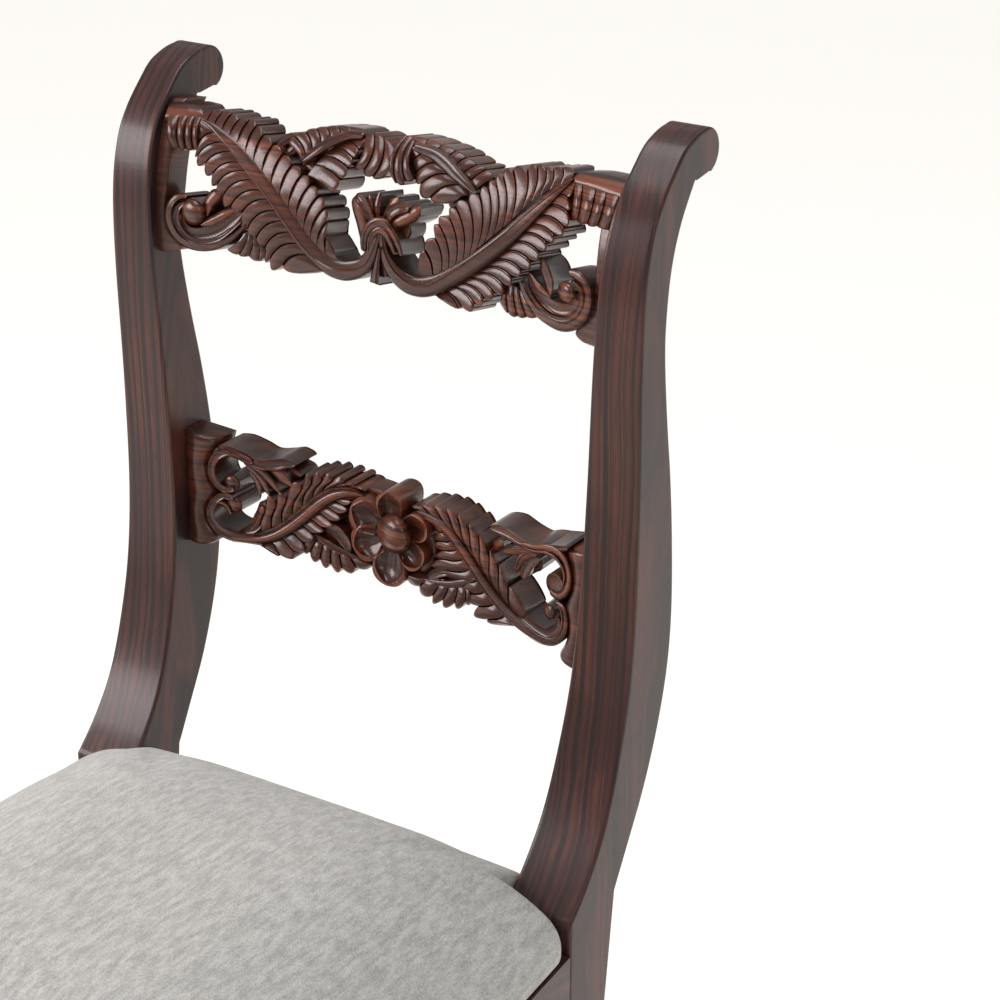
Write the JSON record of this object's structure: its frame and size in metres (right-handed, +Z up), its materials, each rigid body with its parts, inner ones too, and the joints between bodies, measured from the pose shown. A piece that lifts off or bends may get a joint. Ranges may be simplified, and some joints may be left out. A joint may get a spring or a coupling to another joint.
{
  "type": "klismos dining chair",
  "caption": "Wooden klismos side chair with scrolled sabre posts, pierced and carved crest and lower back rails, splayed sabre legs and an upholstered seat pad.",
  "frame": {"origin": "on the floor under the middle of the chair's bounding box", "axes": "+X to the sitter's left, which is right as seen from the front, +Y to the back of the chair, +Z up; the chair faces -Y; left and right in node names are as seen from the front"},
  "size_m": [0.4546, 0.603, 0.9109],
  "materials": {
    "rosewood": "satin lacquer, dark striped grain along the posts",
    "carved_rosewood": "satin to gloss lacquer, darker in the recesses",
    "block_wood": "unfinished beech",
    "plywood": "unfinished plywood",
    "screw_steel": "plain zinc-plated steel",
    "seat_fabric": "warm light grey fine twill with a soft mottle",
    "seat_foam": "open-cell upholstery foam",
    "dust_cloth": "black non-woven lining",
    "glide_nylon": "dark brown moulded nylon"
  },
  "bodies": {
    "root": {"post_left": "rosewood", "post_right": "rosewood", "front_leg_left": "rosewood", "front_leg_right": "rosewood", "crest_rail": "carved_rosewood", "lower_back_rail": "carved_rosewood", "seat_rail_back": "rosewood", "seat_rail_front": "rosewood", "seat_rail_left": "rosewood", "seat_rail_right": "rosewood", "corner_block_rear_left": "block_wood", "corner_block_rear_right": "block_wood", "corner_block_front_left": "block_wood", "corner_block_front_right": "block_wood", "rail_screw_rear_left": "screw_steel", "rail_screw_rear_right": "screw_steel", "rail_screw_front_left": "screw_steel", "rail_screw_front_right": "screw_steel", "side_screw_rear_left": "screw_steel", "side_screw_rear_right": "screw_steel", "side_screw_front_left": "screw_steel", "side_screw_front_right": "screw_steel", "seat_screw_rear_left": "screw_steel", "seat_screw_rear_right": "screw_steel", "seat_screw_front_left": "screw_steel", "seat_screw_front_right": "screw_steel", "seat_cover": "seat_fabric", "seat_foam": "seat_foam", "seat_board": "plywood", "dust_cloth": "dust_cloth", "glide_back_left": "glide_nylon", "glide_back_right": "glide_nylon", "glide_front_left": "glide_nylon", "glide_front_right": "glide_nylon"}
  },
  "joints": []
}
